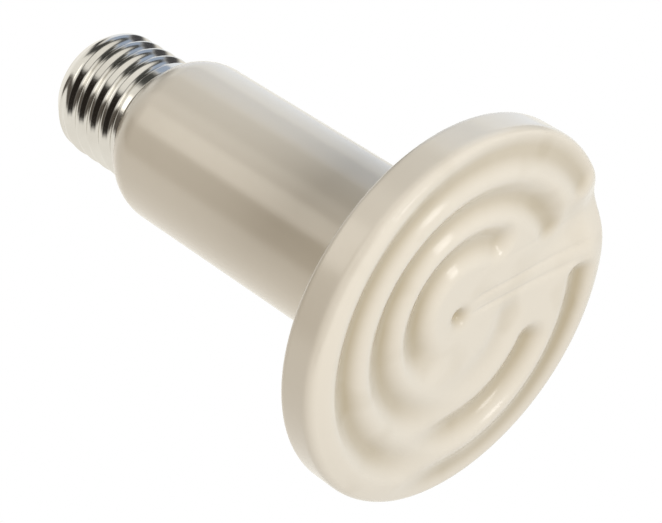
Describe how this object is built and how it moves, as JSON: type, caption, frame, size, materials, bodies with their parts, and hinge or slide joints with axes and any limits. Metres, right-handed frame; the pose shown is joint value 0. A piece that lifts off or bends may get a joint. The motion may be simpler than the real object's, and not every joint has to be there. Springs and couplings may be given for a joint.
{
  "type": "ceramic heat emitter",
  "caption": "Glazed ceramic heat emitter: a flat disc with a winding ridged face, on a hollow neck that ends in a screw cap.",
  "frame": {"origin": "on the axis, in the plane of the face's ridge tops, on which the part stands", "axes": "+Z along the axis from the ridged face to the screw cap; +X and +Y across the face"},
  "size_m": [0.075, 0.075, 0.1082],
  "materials": {
    "glaze": "glossy cream glaze",
    "plated_shell": "bright nickel plate on rolled sheet",
    "black_glass": "opaque black glass",
    "contact_metal": "pressed, tinned",
    "cement": "matt",
    "lead_wire": "drawn wire"
  },
  "bodies": {
    "root": {"ceramic_body": "glaze", "screw_shell": "plated_shell", "cap_insulator": "black_glass", "centre_contact": "contact_metal", "cap_cement": "cement", "contact_lead": "lead_wire", "shell_lead": "lead_wire"}
  },
  "joints": []
}
